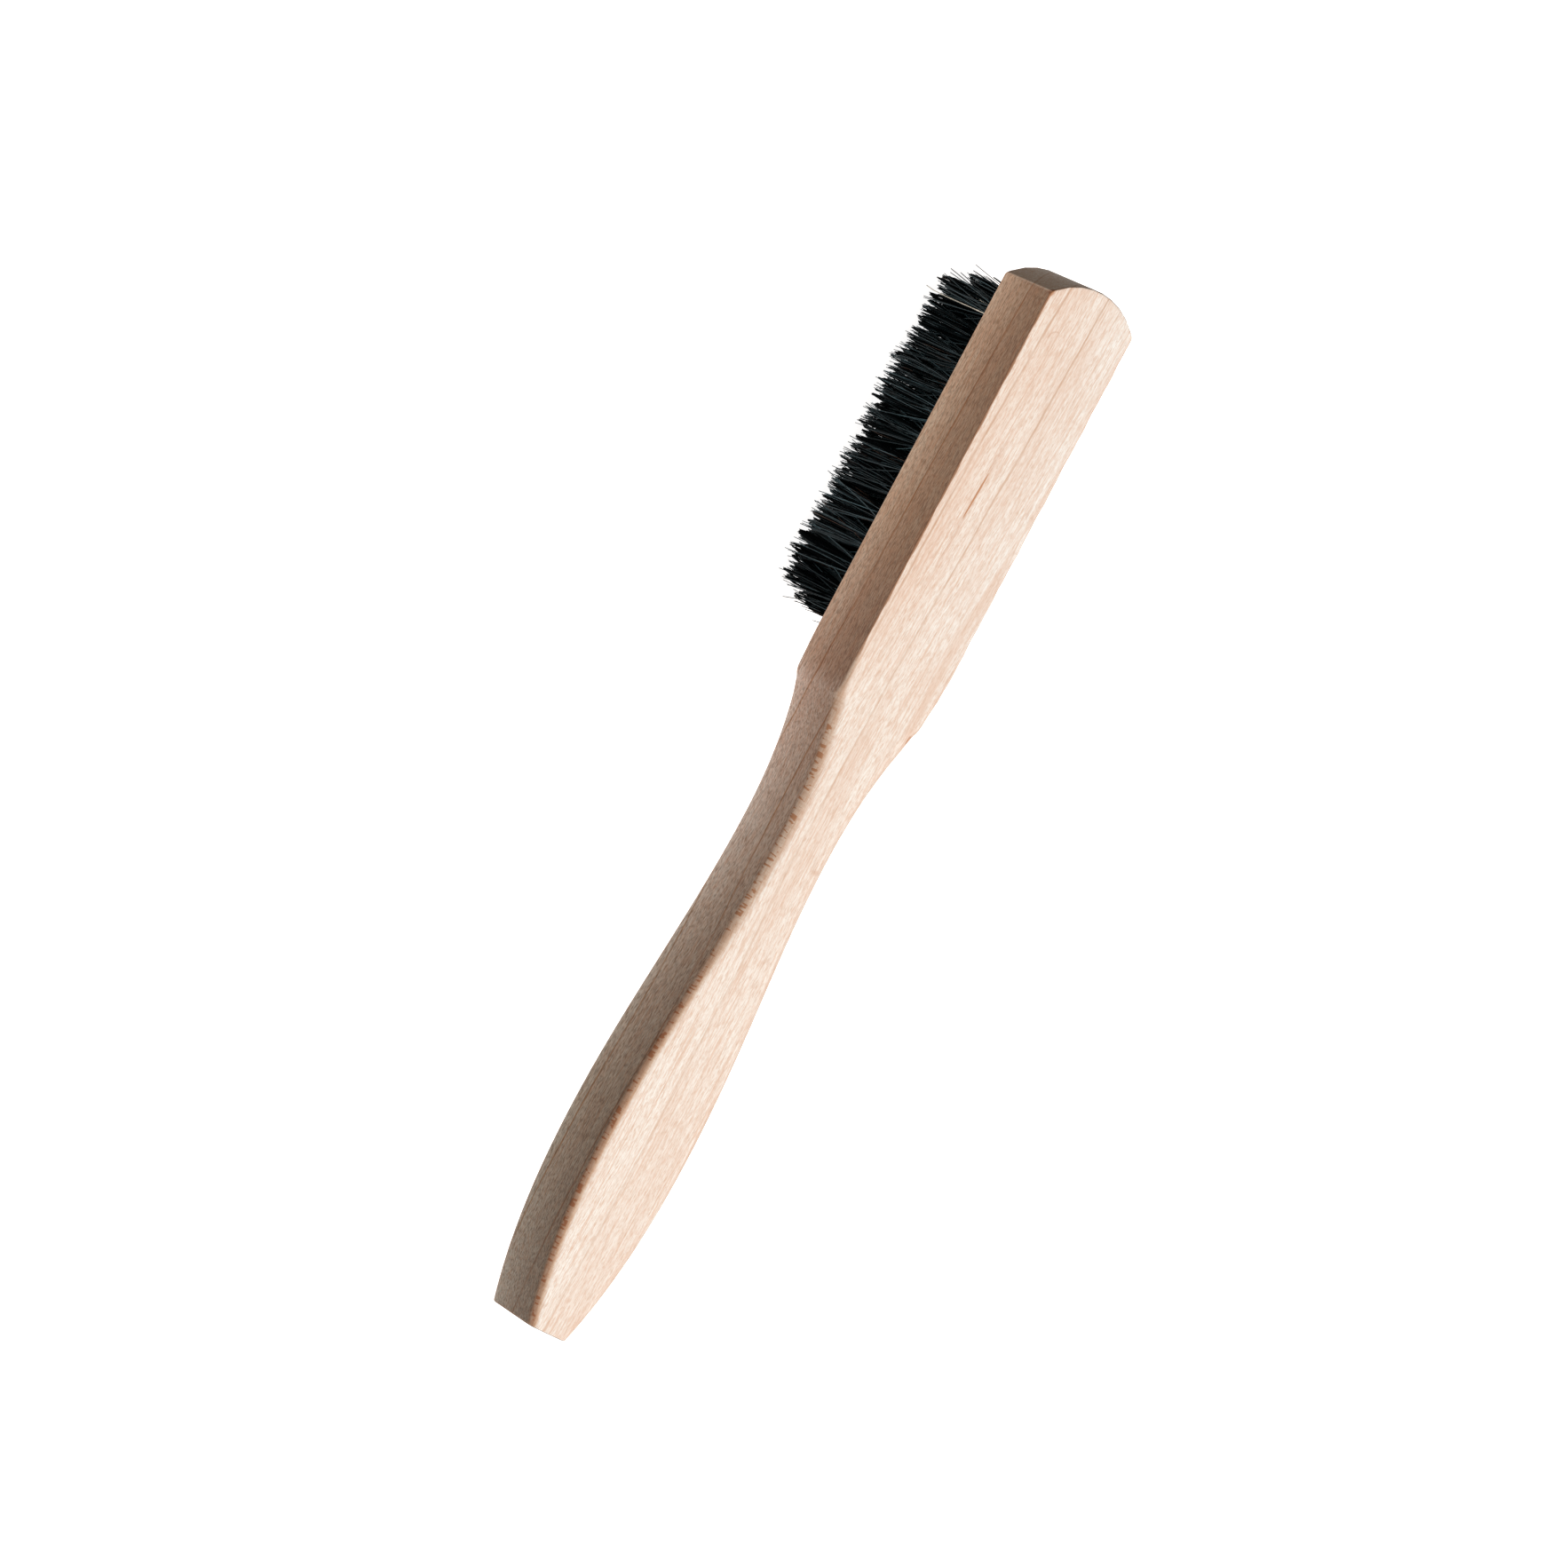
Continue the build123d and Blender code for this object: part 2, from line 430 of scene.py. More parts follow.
def tuft_rows():
    """(x, y) of both tufts of every row, read from the boxes of the rows."""
    rows = []
    for number in range(1, ROW_COUNT + 1):
        low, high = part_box(f"tuft_row_{number:02d}")
        tip_radius = (high.x - low.x) / 2
        rows.append([((low.x + high.x) / 2, side * (high.y - tip_radius)) for side in (-1, 1)])
    return rows


def drill(piece, sizes):
    """Cuts the blind holes into the drilled face."""
    bm = bmesh.new()
    start = BODY_LOW.z - 1 * MM
    end = BODY_LOW.z + sizes.hole_depth
    radius = sizes.hole_diameter / 2
    for x, y in sum(tuft_rows(), []):
        bmesh.ops.create_cone(bm, cap_ends=True, segments=HOLE_SIDES, radius1=radius, radius2=radius,
                              depth=end - start, matrix=Matrix.Translation((x, y, (start + end) / 2)))
    mesh = bpy.data.meshes.new("drills")
    bm.to_mesh(mesh)
    bm.free()
    drills = bpy.data.objects.new("drills", mesh)
    bpy.context.collection.objects.link(drills)
    cut = piece.modifiers.new("holes", "BOOLEAN")
    cut.operation = "DIFFERENCE"
    cut.solver = "EXACT"
    cut.object = drills
    shaped = bpy.data.meshes.new_from_object(piece.evaluated_get(bpy.context.evaluated_depsgraph_get()))
    piece.modifiers.clear()
    piece.data = shaped
    bpy.data.objects.remove(drills)


def finish_faces(piece):
    """Smooth faces, with a sharp edge wherever two of them meet at a large angle."""
    bm = bmesh.new()
    bm.from_mesh(piece.data)
    bmesh.ops.remove_doubles(bm, verts=bm.verts, dist=WELD)
    for face in bm.faces:
        face.smooth = True
    for edge in bm.edges:
        edge.smooth = len(edge.link_faces) == 2 and edge.calc_face_angle() < SHARP_ANGLE
    bm.to_mesh(piece.data)
    bm.free()


def dress(bm, name, slot, *nodes):
    """Makes bm a piece that rides on the root body and stands for the CAD nodes; slot is not used."""
    mesh = bpy.data.meshes.new(name)
    bm.to_mesh(mesh)
    bm.free()
    piece = bpy.data.objects.new(name, mesh)
    bpy.context.collection.objects.link(piece)
    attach(piece, "root")
    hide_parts(*nodes)
    return piece


# ---- Beech ----

# The pattern is worked out in millimetres, along X between these two ends
TIP_END, TAIL_END = -108.0, 108.0
BOTTOM, TOP = BODY_LOW.z / MM, BODY_HIGH.z / MM

# Where the growth line in the middle of the top runs, and how far away the next one towards -Y is, along X
RING_DRIFT = [(-108, 1.65), (-84, 0.85), (-59, -0.17), (-25, -1.5), (5, -1.9), (35, -1.1), (68, -0.9),
              (108, -1.6)]
RING_GAP = [(-108, 8.2), (-84, 9.0), (-60, 8.8), (-30, 8.3), (-17, 8.9), (5, 10.3), (36, 9.5), (78, 10.8),
            (108, 10.4)]

# Natural marks: centre, length along the brush, width, slope, strength, and hardness of the edge. On the
# top face they are placed by X and Y, on the side that faces -Y by X and Z.
TOP_MARKS = [((-64.3, -4.0), 11.0, 0.46, -0.045, 0.95, 0.8), ((-63.0, -4.0), 44.0, 0.9, -0.03, 0.24, 0.45),
             ((-19.1, 8.55), 2.6, 1.0, -0.12, 0.7, 0.45), ((-103.6, -10.2), 2.4, 1.2, 0.0, 0.8, 0.45),
             ((10.4, 4.1), 1.6, 2.4, 0.0, 0.22, 0.3), ((-47.3, -8.5), 2.4, 0.7, 0.0, 0.35, 0.4),
             ((-45.5, 1.7), 3.6, 0.45, -0.08, 0.3, 0.4), ((-66.2, 8.2), 3.8, 0.9, 0.0, 0.2, 0.3)]
SIDE_MARKS = [((-58.4, 35.5), 6.6, 0.34, 0.525, 0.3, 0.5), ((-64.0, 33.4), 0.6, 2.8, 0.0, 0.3, 0.4)]
SCRATCH_CENTRE, SCRATCH_RADIUS, SCRATCH_STRENGTH = (-96.0, -4.7), 1.7, 0.3

# Tone of the sides along X, with painted light and shade: warmer head, lighter neck, greyer handle
SIDE_TONES_AND_SHADE = [(-108, (1.02, 0.82, 0.655)), (-55, (1.02, 0.82, 0.655)), (-23.9, (0.90, 0.70, 0.585)),
              (-21.2, (1.13, 0.98, 0.91)), (7, (1.09, 1.02, 0.97)), (35, (0.83, 0.76, 0.69)),
              (65, (0.66, 0.605, 0.53)), (108, (0.56, 0.535, 0.485))]

UNCHANGED, DARK = rgba((1.0, 1.0, 1.0)), rgba((0.0, 0.0, 0.0))
DIAGONAL = math.sqrt(0.5)
FLECK_TILT = math.radians(50)      # from the top, of the part of the rounded edge where the rays show most


def share_along(tree, x):
    """How far along the brush a point is, 0 at the tip and 1 at the tail."""
    return node(tree, "ShaderNodeMapRange", {0: x, 1: TIP_END, 2: TAIL_END, 3: 0.0, 4: 1.0}).outputs[0]


def along_brush(tree, x, pairs, low, high):
    """Smooth curve through (place along X, height) pairs, with heights between low and high."""
    curve = node(tree, "ShaderNodeFloatCurve", {"Factor": 1.0, "Value": share_along(tree, x)})
    points = curve.mapping.curves[0].points
    for index, (place, height) in enumerate(pairs):
        at = ((place - TIP_END) / (TAIL_END - TIP_END), (height - low) / (high - low))
        if index < 2:
            points[index].location = at
        else:
            points.new(*at)
    curve.mapping.update()
    return maths(tree, "MULTIPLY_ADD", curve.outputs[0], high - low, low)


def ring_count(tree, across, gap, spacing):
    """Growth lines passed on the way to a point, whole on each line."""
    below = product(tree, across, -1.0)
    first = maths(tree, "MINIMUM", maths(tree, "DIVIDE", below, gap), 1.0)
    further = maths(tree, "DIVIDE", maths(tree, "MAXIMUM", minus(tree, below, gap), 0.0), spacing)
    return plus(tree, first, further)


def mark(tree, x, y, centre, length, width, slope, strength, hardness):
    """Oval mark on a face: its strength in its middle, 0 outside."""
    along = minus(tree, x, centre[0])
    aside = minus(tree, minus(tree, y, centre[1]), product(tree, along, slope))
    far = distance(tree, maths(tree, "DIVIDE", along, length / 2), maths(tree, "DIVIDE", aside, width / 2))
    return step(tree, far, 1.0, hardness, 0.0, strength)


def scratch(tree, x, y):
    """Thin curved scratch near the tip of the head: its strength on it, 0 beside it."""
    along = minus(tree, x, SCRATCH_CENTRE[0])
    aside = minus(tree, y, SCRATCH_CENTRE[1])
    beside = magnitude(tree, minus(tree, distance(tree, along, aside), SCRATCH_RADIUS))
    return product(tree, step(tree, beside, 0.22, 0.05), step(tree, along, 0.3, -0.3),
                   step(tree, aside, 0.3, -0.1), SCRATCH_STRENGTH)


class BeechPattern:
    """Beech set in the solid wood: growth lines, fibres, pores and rays, as sockets of one node tree."""

    def __init__(self, tree, look):
        self.tree, self.look = tree, look
        texture = node(tree, "ShaderNodeTexCoord")
        self.place = in_millimetres(tree, texture)
        self.x, self.y, self.z = node(tree, "ShaderNodeSeparateXYZ", {0: self.place}).outputs
        self.facing = node(tree, "ShaderNodeSeparateXYZ", {0: texture.outputs["Normal"]}).outputs
        self.sideways = magnitude(tree, self.facing[1])
        self.endways = step(tree, magnitude(tree, self.facing[0]), 0.48, 0.68)
        self.y_grain = minus(tree, self.y, along_brush(tree, self.x, RING_DRIFT, -3.0, 3.0))
        self.across = plus(tree, self.y_grain, minus(tree, self.z, TOP))
        self.grain = node(tree, "ShaderNodeCombineXYZ", {0: self.x, 1: self.y_grain, 2: self.z}).outputs[0]
        self.fine = noise(tree, self.grain, (0.42, 3.3, 3.3), 2.0, 0.6)
        self.finest = noise(tree, self.grain, (1.0, 4.6, 4.6), 1)
        self.dashes = noise(tree, self.grain, (0.2, 3.0, 3.0), 1)
        self.mottle = noise(tree, self.grain, (1.3, 1.9, 1.9), 2)
        self.pores = step(tree, noise(tree, self.grain, (0.7, 3.0, 3.0), 1), 0.62, 0.72)

    def growth(self):
        """A thin line where a year's growth ends, darker late wood beside it, and paler early wood."""
        tree, spacing = self.tree, self.look.ring_spacing / MM
        ripple = maths(tree, "MULTIPLY_ADD", noise(tree, self.grain, (0.1, 0.25, 0.25), 2), 0.6, -0.3)
        gap = along_brush(tree, self.x, RING_GAP, 7.0, 12.0)
        rings = ring_count(tree, plus(tree, self.across, ripple), gap, spacing)
        share = maths(tree, "FRACT", product(tree, rings, -1.0))
        nearest = product(tree, maths(tree, "MINIMUM", share, minus(tree, 1.0, share)), spacing)
        fading = step(tree, noise(tree, self.grain, (0.06, 0.2, 0.2), 2), 0.35, 0.6, 0.6, 1.0)
        line = product(tree, step(tree, nearest, 0.36, 0.06), fading, step(tree, self.across, 6.0, 3.0))
        on_flank = step(tree, self.sideways, 0.8, 0.95)
        strength = product(tree, step(tree, self.x, -40.0, -18.0, 0.62, 0.37), minus(tree, 1.0, on_flank))
        line = product(tree, line, plus(tree, strength, on_flank))
        late = product(tree, step(tree, share, 0.45, 0.0), step(tree, self.across, 7.5, 4.5, 0.2, 1.0))
        return line, late, step(tree, share, 0.7, 1.0)

    def rays(self):
        """Flecks on the rounded edges, how far the rays lie in the surface, stripes there, and ray ends.

        Rays are thin sheets that run outwards across the rings.
        """
        tree, facing = self.tree, self.facing
        outward = product(tree, plus(tree, self.y_grain, self.z), DIAGONAL)
        thickness = product(tree, minus(tree, self.y_grain, self.z), DIAGONAL)
        sheets = node(tree, "ShaderNodeCombineXYZ", {0: self.x, 1: outward, 2: thickness}).outputs[0]
        edge_on = magnitude(tree, product(tree, minus(tree, facing[1], facing[2]), DIAGONAL))
        towards = plus(tree, product(tree, self.sideways, math.sin(FLECK_TILT)),
                       product(tree, facing[2], math.cos(FLECK_TILT)))
        fleck = product(tree, step(tree, noise(tree, sheets, (1.6, 0.40, 1.2), 1.5, 0.4), 0.55, 0.60),
                        step(tree, towards, 0.945, 0.975), step(tree, edge_on, 0.7, 0.85),
                        step(tree, self.x, -19.5, -16.5))
        in_surface = step(tree, edge_on, 0.80, 0.93)
        stripe = step(tree, noise(tree, sheets, (3.2, 0.30, 0.8), 1.5, 0.5), 0.42, 0.62)
        ends = step(tree, noise(tree, sheets, (0.9, 0.5, 3.0), 1), 0.62, 0.75)
        return fleck, in_surface, product(tree, stripe, in_surface), ends

    def fresh_colour(self):
        """Colour of the wood before any mark, wear or tone: tints laid over the pale wood in turn."""
        tree, look, x = self.tree, self.look, self.x
        line, late, early = self.growth()
        fleck, in_surface, stripe, ray_ends = self.rays()
        middling = noise(tree, self.grain, (0.09, 1.25, 1.25), 2.5, 0.55)
        broad = noise(tree, self.grain, (0.03, 0.22, 0.22), 2)
        streaks = noise(tree, self.grain, (0.05, 2.6, 2.6), 1.5)
        newer = product(tree, step(tree, x, -30.0, 50.0, 0.0, 0.5), step(tree, self.across, 8.0, -4.0))
        band = product(tree, step(tree, magnitude(tree, minus(tree, self.across, 9.7)), 3.0, 0.5),
                       step(tree, middling, 0.4, 0.6, 0.1, 0.6))
        tints = ((step(tree, middling, 0.38, 0.72, 0.1, 0.55), look.tan),
                 (step(tree, broad, 0.35, 0.7, 0.0, 0.25), look.tan),
                 (newer, look.pale),
                 (step(tree, self.mottle, 0.5, 0.74, 0.0, 0.35), look.tan),
                 (step(tree, self.fine, 0.46, 0.68, 0.0, 0.85), look.tan),
                 (step(tree, streaks, 0.52, 0.68, 0.0, 0.85), look.tan),
                 (band, look.tan),
                 (product(tree, in_surface, 0.3), look.tan),
                 (step(tree, self.finest, 0.5, 0.64, 0.0, 0.24), look.line),
                 (step(tree, self.dashes, 0.6, 0.74, 0.0, 0.22), look.line),
                 (product(tree, late, step(tree, x, 0.0, 40.0, 0.22, 0.12)), look.tan),
                 (product(tree, early, 0.12), look.pale),
                 (line, look.line),
                 (product(tree, self.pores, 0.16), look.line),
                 (product(tree, ray_ends, 0.12), look.line),
                 (product(tree, stripe, 0.2), look.line),
                 (product(tree, fleck, 0.85), look.fleck))
        colour = rgba(look.pale)
        for amount, tint in tints:
            colour = blend(tree, amount, colour, rgba(tint))
        return colour

    def on_the_head(self, colour):
        """Across the back of the head the wood grows paler towards its newer rings."""
        tree = self.tree
        across = step(tree, self.y, -9.0, 9.0)
        paler = blend(tree, across, rgba((0.98, 0.94, 0.915)), rgba((1.015, 1.055, 1.085)))
        on_head = product(tree, step(tree, self.x, -20.0, -45.0), step(tree, self.facing[2], 0.5, 0.9))
        return blend(tree, on_head, colour, toned(tree, colour, paler))

    def marked(self, colour):
        """The natural marks on the top face and on the side that faces -Y."""
        tree, x = self.tree, self.x
        top_marks = scratch(tree, x, self.y)
        for spot in TOP_MARKS:
            top_marks = maths(tree, "MAXIMUM", top_marks, mark(tree, x, self.y, *spot))
        side_marks = 0.0
        for spot in SIDE_MARKS:
            side_marks = maths(tree, "MAXIMUM", side_marks, mark(tree, x, self.z, *spot))
        marks = plus(tree, product(tree, top_marks, step(tree, self.z, TOP - 1.2, TOP - 0.6)),
                     product(tree, side_marks, step(tree, self.facing[1], -0.8, -0.95)))
        return blend(tree, marks, colour, rgba(self.look.fleck))

    def worn(self, colour):
        """The crisp upper edges of the head, where they turn from top to side, are a warmer brown."""
        tree = self.tree
        slanting = product(tree, step(tree, self.sideways, 0.25, 0.5), step(tree, self.facing[2], 0.2, 0.45))
        amount = product(tree, slanting, step(tree, self.x, -24.0, -34.0), 0.65)
        return blend(tree, amount, colour, rgba(self.look.fleck))

    def side_tone_and_shade(self):
        """A different cut of the same wood, with painted light and shade, darker to the back and upper edge.
        """
        tree = self.tree
        # On the side that faces -Y: tone along X with painted light and shade; the side facing +Y has a plain
        # tone
        ramp = node(tree, "ShaderNodeValToRGB", {0: share_along(tree, self.x)})
        elements = ramp.color_ramp.elements
        for index, (at, tone) in enumerate(SIDE_TONES_AND_SHADE):
            element = elements[index] if index < 2 else elements.new(1.0)
            element.position = (at - TIP_END) / (TAIL_END - TIP_END)
            element.color = rgba(tone)
        # Painted light and shade up the sides: painted bounce light near the bottom, lighter and bluer;
        # painted shade, darker towards the upper edge
        upwards = step(tree, self.z, BOTTOM - 3.0, TOP)
        height = blend(tree, upwards, rgba((1.14, 1.244, 1.347)), rgba((0.57, 0.57, 0.565)))
        lower = blend(tree, step(tree, self.z, BOTTOM, BOTTOM + 7.0), UNCHANGED, rgba((0.877, 0.82, 0.787)))
        tone = blend(tree, step(tree, self.facing[1], -0.3, 0.3), ramp.outputs[0], rgba((0.94, 0.88, 0.80)))
        tone = toned(tree, tone, toned(tree, height, lower))
        specks = step(tree, self.finest, 0.45, 0.62)
        for amount in (step(tree, self.mottle, 0.45, 0.65, 0.0, 0.08),
                       step(tree, self.dashes, 0.45, 0.65, 0.0, 0.10),
                       product(tree, specks, step(tree, self.x, 10.0, 40.0, 0.28, 0.36))):
            tone = blend(tree, amount, tone, DARK)
        return tone

    def turned(self, colour):
        """Painted shade where the edges round towards -Y, darker faces towards +Y, and the tone of the sides.
        """
        tree, facing_y = self.tree, self.facing[1]
        far_side = blend(tree, step(tree, facing_y, 0.05, 0.6), UNCHANGED, rgba((0.83, 0.785, 0.755)))
        colour = toned(tree, colour, far_side)
        # Painted shade where the rounded edges turn towards -Y: warmer, then darker, more so where the handle
        # swells
        swell = step(tree, self.x, 15.0, 50.0)
        warm_shade = blend(tree, swell, rgba((0.92, 0.85, 0.78)), rgba((0.88, 0.76, 0.64)))
        deep_shade = blend(tree, swell, rgba((0.92, 0.90, 0.88)), rgba((0.68, 0.60, 0.57)))
        edge = blend(tree, step(tree, facing_y, -0.15, -0.5), colour, toned(tree, colour, warm_shade))
        edge = blend(tree, step(tree, facing_y, -0.35, -0.7), edge, toned(tree, edge, deep_shade))
        return blend(tree, step(tree, self.sideways, 0.78, 0.97), edge, toned(tree, colour, self.side_tone_and_shade()))

    def end_grain_and_shade(self, colour):
        """End grain is darker, partly its own darker colour and partly painted shade, and shows its pores as
        dots.
        """
        tree = self.tree
        dots = noise(tree, self.place, (3.5, 3.5, 3.5), 2)
        # Painted shade with the darker end grain: the end faces are multiplied down to about a third
        end_tone_and_shade = blend(tree, dots, rgba((0.36, 0.38, 0.385)), rgba((0.29, 0.31, 0.32)))
        return blend(tree, self.endways, colour, toned(tree, colour, end_tone_and_shade))


def beech(look):
    """Plain beech, a little polished by use but for its ends."""
    material, tree = new_tree("beech")
    wood = BeechPattern(tree, look)
    colour = wood.marked(wood.on_the_head(wood.fresh_colour()))
    colour = wood.end_grain_and_shade(wood.turned(wood.worn(colour)))
    relief = minus(tree, wood.fine, product(tree, wood.pores, 0.5))
    bump = node(tree, "ShaderNodeBump", {"Height": relief, "Distance": 0.03 * MM, "Strength": 0.5})
    rough = step(tree, wood.fine, 0.3, 0.7, 0.56, 0.68)
    polish = maths(tree, "MULTIPLY_ADD", wood.endways, -0.18, 0.2)
    shader = node(tree, "ShaderNodeBsdfPrincipled", {"Base Color": colour, "Roughness": rough,
                                                     "Normal": bump.outputs[0], "Specular IOR Level": polish})
    node(tree, "ShaderNodeOutputMaterial", {0: shader.outputs[0]})
    return material


class BRUSH_OT_wooden_body(bpy.types.Operator):
    """Models the wooden body in one piece, with its drilled holes, and finishes it as beech"""

    bl_idname = "brush.wooden_body"
    bl_label = "Wooden Body"

    def execute(self, context):
        sizes = context.scene.brush_body
        piece = dress(body_mesh(BodyShape(sizes)), "brush_body", "beech_wood", "wooden_body")
        drill(piece, sizes)
        finish_faces(piece)
        piece.data.materials.append(beech(context.scene.brush_wood))
        return {"FINISHED"}


# ---- Bristle ----

# Points of a leg, as shares of the way from the wood to its tip, and of the fold over the anchor, in degrees
LEG_SHARES = np.array((1.0, 0.94, 0.85, 0.62, 0.32, 0.0))
FOLD_ANGLES = (180, 120, 60, 0)

# Scatter of the bristles. Pairs are along and across the brush.
TUFT_RADIUS = 1.42 * MM                      # of a tuft in its hole, to the middle of its outermost bristles
LEAST_ASIDE = 0.3 * MM                       # half the width, along the anchor, of the outermost fold
FOLD_CLEARANCE = 0.1 * MM                    # from the anchor to the middle of the bristles over it
FIELD_REACH = 10.8 * MM                      # no bristle goes further from the middle of the brush
TUFT_LEAN = np.array((0.45, 0.8)) * MM       # most that a tuft leans by chance
FIRST_LEAN, LAST_LEAN = 0.5 * MM, 0.9 * MM   # of the first and the last tufts, towards the tip of the head
LEAST_TRIM, MORE_TRIM = 0.05 * MM, 1.3 * MM  # by which a whole tuft ends short of the floor
MOST_SHORT = 5 * MM                          # by which any bristle ends short of the floor
LOCKS = 11                                   # into which the tips of half a tuft gather
LOCK_SPREAD = np.array((1.3, 1.9)) * MM      # of the locks about the middle of their half
LOCK_START = 0.78                            # share of a leg at which it turns into its lock
STRAYS = 0.2                                 # share of the bristles that go their own way
BROWN = 0.018                                # share of the bristles that are brown
CREAM_ROW = 2                                # the row with the one cream bristle


def bristle_template(rings):
    """One bristle as a plain upright tube of three sides, its vertices in order from end to end."""
    bm = bmesh.new()
    bmesh.ops.create_circle(bm, cap_ends=True, segments=3, radius=1.0)
    edges = list(bm.edges)
    for index in range(1, rings):
        grown = bmesh.ops.extrude_edge_only(bm, edges=edges)["geom"]
        bmesh.ops.translate(bm, verts=[item for item in grown if isinstance(item, bmesh.types.BMVert)],
                            vec=(0, 0, 1))
        edges = [item for item in grown if isinstance(item, bmesh.types.BMEdge)
                 and all(abs(vert.co.z - index) < 0.5 for vert in item.verts)]
    bmesh.ops.contextual_create(bm, geom=edges)
    bmesh.ops.recalc_face_normals(bm, faces=bm.faces)
    for vert in bm.verts:
        turn = math.atan2(vert.co.y, vert.co.x) % (2 * math.pi)
        vert.index = round(vert.co.z) * 3 + round(turn / (2 * math.pi / 3)) % 3
    bm.verts.sort()
    for face in bm.faces:
        face.smooth = True
    mesh = bpy.data.meshes.new("bristle_template")
    bm.to_mesh(mesh)
    bm.free()
    return mesh


def unit(vectors):
    """The vectors, each with a length of 1."""
    return vectors / np.linalg.norm(vectors, axis=-1, keepdims=True)


def tuft_paths(rng, look, x, y, lean):
    """Centre lines of the folded bristles of one tuft, in metres, and which of them are strays."""
    count = look.per_tuft
    lean = lean + rng.uniform(-1, 1, 2) * TUFT_LEAN
    trim = LEAST_TRIM + MORE_TRIM * rng.uniform(0.0, 1.0) ** 2
    face, anchor_top = BODY_LOW.z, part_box("anchor_row_01")[1].z
    # Nested folds: the outer ones sit higher over the anchor and further out in the hole
    layer = rng.uniform(0.0, 1.0, count)
    reach = look.fold_radius + (TUFT_RADIUS - look.fold_radius) * layer
    width = np.sqrt(np.maximum(TUFT_RADIUS ** 2 - reach ** 2, LEAST_ASIDE ** 2))
    share = rng.uniform(-1.0, 1.0, count)
    aside = share * width
    stray = rng.uniform(0, 1, count) < STRAYS
    t = LEG_SHARES[None, :, None]
    legs = []
    for side in (-1, 1):
        mouth = np.stack([side * reach * rng.uniform(0.9, 1.0, count),
                          aside * rng.uniform(0.9, 1.0, count)], -1)
        # The tips of each half fill a pointed oval
        u = 2 * layer - 1 + rng.normal(0.0, 0.12, count)
        oval = (1 - np.minimum(np.abs(u), 1.0) ** 1.5) ** 0.7
        free = np.stack([side * (look.lobe_offset + u * look.lobe_width / 2),
                         share * oval * look.lobe_length / 2], -1)
        free += rng.normal(0.0, 0.14 * MM, free.shape)
        free[stray, 0] += rng.standard_t(4, int(stray.sum())).clip(-3, 3) * 1.5 * MM
        free[stray, 1] += rng.normal(0.0, 0.7 * MM, int(stray.sum()))
        free += lean * rng.uniform(0.6, 1.1, (count, 1))
        # All but the strays gather in locks at the very end, and a lock ends at nearly one height
        centre = np.array([side * look.lobe_offset, 0.0]) + lean
        locks = centre + rng.uniform(-1, 1, (LOCKS, 2)) * LOCK_SPREAD
        choice = np.argmin(((free[:, None] - locks[None]) ** 2).sum(-1), axis=1)
        pull = (locks[choice] - free) * rng.uniform(0.4, 0.95, (count, 1))
        pull[:, 0] += (centre[0] - free[:, 0]) * look.gather
        pull[stray] = 0.0
        short = np.maximum(rng.exponential(1.2 * MM, LOCKS) - 0.5 * MM, 0.0)[choice]
        short += rng.exponential(0.15 * MM, count) + 0.15 * np.linalg.norm(free - centre, axis=-1)
        height = np.minimum(short + trim, MOST_SHORT)
        # Each leg spreads soonest at the wood, bows a little on its way and turns into its lock
        bow = rng.normal(0.0, 0.2 * MM, (count, 1, 2))
        flat = (mouth[:, None] + (free - mouth)[:, None] * t ** 0.8 + bow * np.sin(np.pi * t)
                + pull[:, None] * np.clip((t - LOCK_START) / (1 - LOCK_START), 0, 1))
        flat[..., 1] = np.clip(flat[..., 1], -FIELD_REACH - y, FIELD_REACH - y)
        level = face + (height[:, None] - face) * t[..., 0]
        legs.append(np.concatenate([flat, level[..., None]], -1))
    turns = []
    for angle in np.radians(FOLD_ANGLES):
        rise = FOLD_CLEARANCE + (0.08 * MM + 0.75 * (reach - look.fold_radius)) * math.sin(angle)
        turns.append(np.stack([reach * math.cos(angle), aside, anchor_top + rise], -1))
    paths = np.concatenate([legs[0], np.stack(turns, 1), legs[1][:, ::-1]], axis=1)
    return paths + np.array([x, y, 0.0]), stray


def tubes(paths, thickness):
    """Vertices of three-sided tubes round the paths: an array (bristle, point, side, 3)."""
    along = unit(np.gradient(paths, axis=1))
    reference = np.array([0.0, 1.0, 0.0])
    first = unit(reference - (along @ reference)[..., None] * along)
    second = np.cross(along, first)
    angles = np.radians([0, 120, 240])
    ring = (np.cos(angles)[None, None, :, None] * first[:, :, None]
            + np.sin(angles)[None, None, :, None] * second[:, :, None])
    return paths[:, :, None] + ring * thickness[..., None, None] / 2


def bristle_colours(rng, look, stray):
    """One colour for each bristle of a tuft: mostly black, the strays greyer, partly painted sheen, and a few
    of them brown.
    """
    black, grey_and_sheen = np.array(look.black), np.array(look.grey_and_sheen)
    count = len(stray)
    share = rng.uniform(0, 1, (count, 1)) ** np.where(stray, 3.0, 10.0)[:, None] + 0.15 * stray[:, None]
    colours = black + (grey_and_sheen - black) * np.minimum(share, 1.0)
    colours[rng.uniform(0, 1, count) < BROWN] = look.brown
    return colours


def show_cream_bristle(look, paths, colours, thickness):
    """Turns one bristle of the first tuft cream: one leg lies outermost, the other is hidden in the tuft."""
    legs, halfway = len(LEG_SHARES), 3
    outermost = np.argmin(paths[:look.per_tuft, halfway, 1])
    hidden, shown = paths[outermost, :legs], paths[outermost, -legs:]
    hidden[:, 1] += 3.6 * MM * LEG_SHARES
    shown[:, 1] -= 0.6 * MM * LEG_SHARES[::-1]
    shown[:, 2] = BODY_LOW.z + (0.3 * MM - BODY_LOW.z) * LEG_SHARES[::-1]
    colours[outermost] = look.cream
    thickness[outermost] *= 1.5


